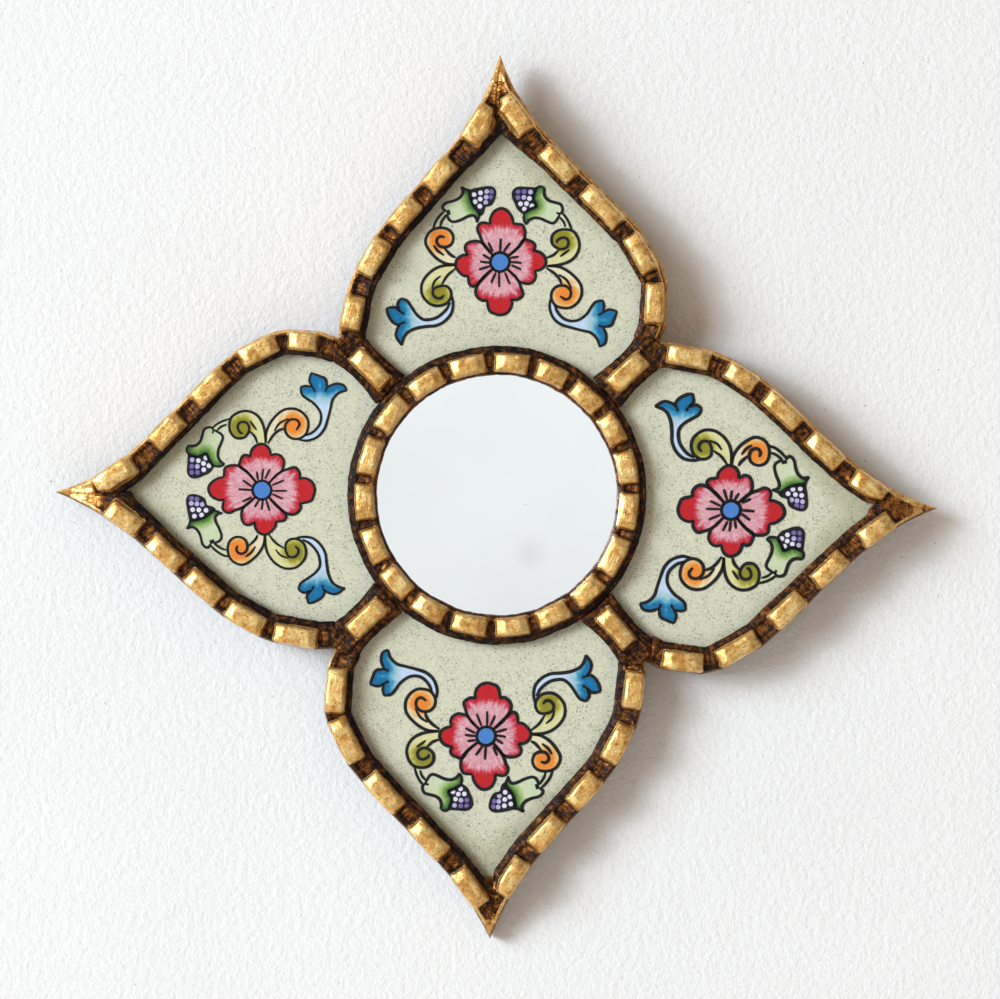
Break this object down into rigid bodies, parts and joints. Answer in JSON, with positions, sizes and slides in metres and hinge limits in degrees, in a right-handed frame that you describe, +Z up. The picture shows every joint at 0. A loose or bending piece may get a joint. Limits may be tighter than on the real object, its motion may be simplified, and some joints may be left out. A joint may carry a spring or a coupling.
{
  "type": "painted glass mirror",
  "caption": "Star-shaped wall mirror: a round looking glass ringed by reverse-painted glass petals, set in gilded beaded mouldings on a wooden board with a hanging ring behind.",
  "frame": {"origin": "middle of the board's flat back, behind the middle of the round mirror", "axes": "+Z up as the mirror hangs, +X to the right seen from the front, +Y out of the back towards the wall, so the front faces -Y"},
  "size_m": [0.2505, 0.014, 0.251],
  "materials": {
    "board": "gilded edge and front, stained back",
    "looking_glass": "silvered glass",
    "painted_glass": "clear glass, painted on the back",
    "gilding": "bronze leaf beads with dark varnish in the notches",
    "hanger_steel": "dull steel"
  },
  "bodies": {
    "frame": {"backing_board": "board", "mirror_disc": "looking_glass", "top_painted_pane": "painted_glass", "right_painted_pane": "painted_glass", "bottom_painted_pane": "painted_glass", "left_painted_pane": "painted_glass", "mirror_ring_moulding": "gilding", "upper_left_spoke": "gilding", "upper_right_spoke": "gilding", "lower_right_spoke": "gilding", "lower_left_spoke": "gilding", "top_petal_left_moulding": "gilding", "top_petal_right_moulding": "gilding", "right_petal_upper_moulding": "gilding", "right_petal_lower_moulding": "gilding", "bottom_petal_right_moulding": "gilding", "bottom_petal_left_moulding": "gilding", "left_petal_lower_moulding": "gilding", "left_petal_upper_moulding": "gilding", "hanger_strap": "hanger_steel", "hanger_nail_upper": "hanger_steel", "hanger_nail_lower": "hanger_steel"},
    "hanging_ring": {"hanger_ring": "hanger_steel"}
  },
  "joints": [
    {"name": "ring_swing", "type": "hinge", "parent": "frame", "child": "hanging_ring", "pos_m": [0, -0.00215, 0.075], "axis": [1, 0, 0], "range_deg": [0, 180]}
  ]
}
